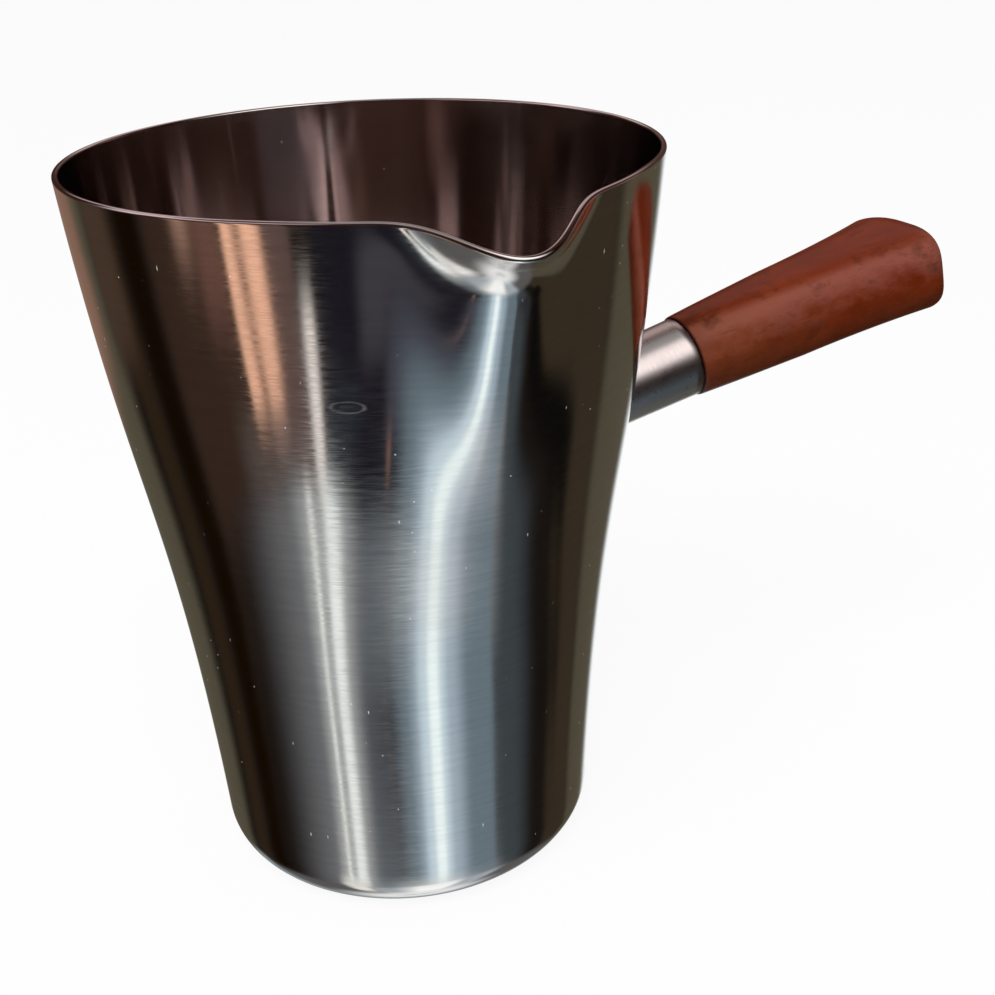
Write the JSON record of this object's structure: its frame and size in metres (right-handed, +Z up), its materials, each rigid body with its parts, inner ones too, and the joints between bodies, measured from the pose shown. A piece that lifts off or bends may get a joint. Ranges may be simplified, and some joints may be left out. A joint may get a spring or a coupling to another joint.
{
  "type": "cream jug",
  "caption": "Small steel cream jug: a tapered cup with a flared rim, a pressed pouring lip at the side, and a short wooden handle that tilts up from a steel socket.",
  "frame": {"origin": "centre of the flat base, on the surface that the jug stands on", "axes": "+Z up along the cup's axis, +X out along the handle, -Y towards the pouring lip"},
  "size_m": [0.136, 0.0886, 0.1051],
  "materials": {
    "cup_steel": "fine brushed round the cup, brighter at the rim and lip",
    "socket_steel": "satin",
    "braze_metal": "polished fillet",
    "plate_steel": "plain, hidden",
    "stud_steel": "plain, hidden",
    "grip_wood": "oiled red-brown hardwood, satin"
  },
  "bodies": {
    "root": {"jug_body": "cup_steel", "handle_socket": "socket_steel", "socket_braze": "braze_metal", "socket_end_plate": "plate_steel", "handle_stud": "stud_steel", "grip": "grip_wood"}
  },
  "joints": []
}
